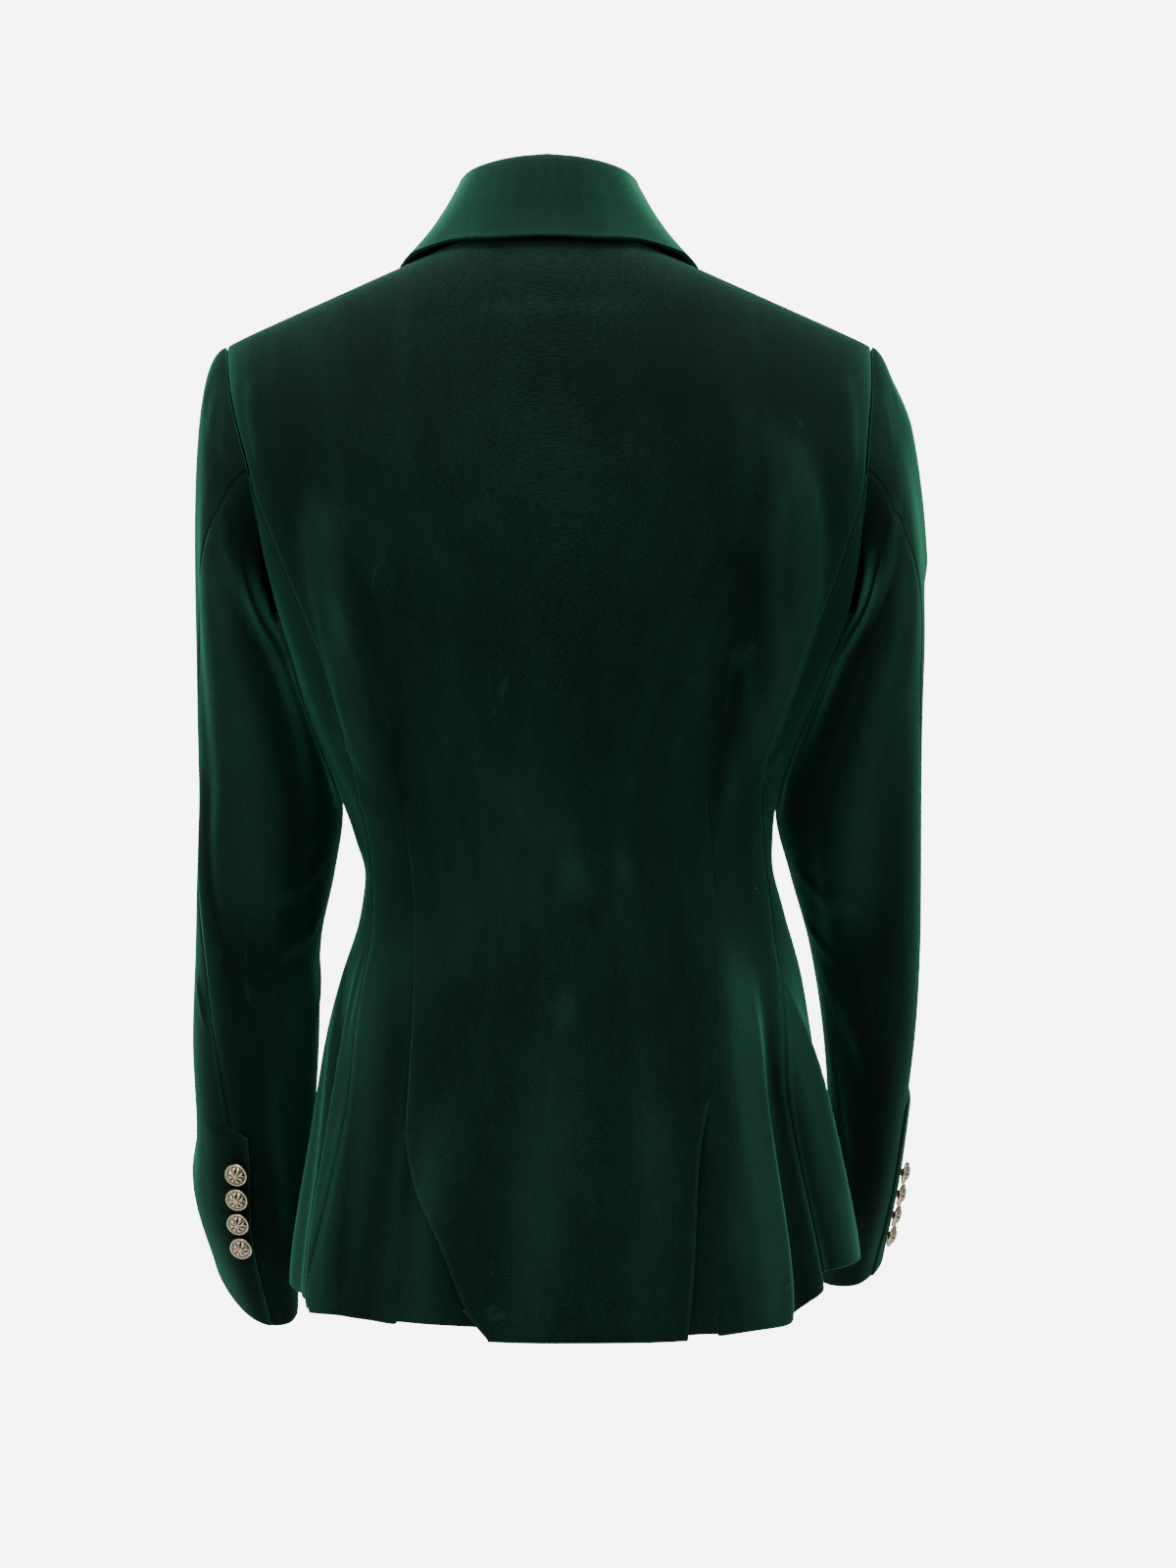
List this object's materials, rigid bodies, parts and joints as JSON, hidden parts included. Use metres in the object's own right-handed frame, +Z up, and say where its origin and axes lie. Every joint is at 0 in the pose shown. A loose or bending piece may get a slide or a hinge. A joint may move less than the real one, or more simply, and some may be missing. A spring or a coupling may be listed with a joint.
{
  "type": "blazer",
  "caption": "Fitted velvet blazer with a notched collar, set-in sleeves, two back vents and domed metal buttons, held open in its worn shape.",
  "frame": {"origin": "inside the neck, midway between the two points where the shoulder seams meet the collar, as on the body that wears it", "axes": "+Z up along the back, +Y out of the back, +X to the wearer's left"},
  "size_m": [0.4596, 0.3142, 0.7069],
  "materials": {
    "velvet": "dark green velvet pile, soft sheen at grazing angles",
    "collar_velvet": "the same velvet, its pile lying lighter on the collar and lapels",
    "button_metal": "pale gold plated, domed, softly worn"
  },
  "bodies": {
    "root": {"back": "velvet", "collar": "collar_velvet", "cuff_button_left_1": "button_metal", "cuff_button_left_2": "button_metal", "cuff_button_left_3": "button_metal", "cuff_button_left_4": "button_metal", "cuff_button_right_1": "button_metal", "cuff_button_right_2": "button_metal", "cuff_button_right_3": "button_metal", "cuff_button_right_4": "button_metal", "front_button": "button_metal", "front_left": "velvet", "front_right": "velvet", "lapel_left": "collar_velvet", "lapel_right": "collar_velvet", "side_left": "velvet", "side_right": "velvet", "top_sleeve_left": "velvet", "top_sleeve_right": "velvet", "under_sleeve_left": "velvet", "under_sleeve_right": "velvet"}
  },
  "joints": []
}
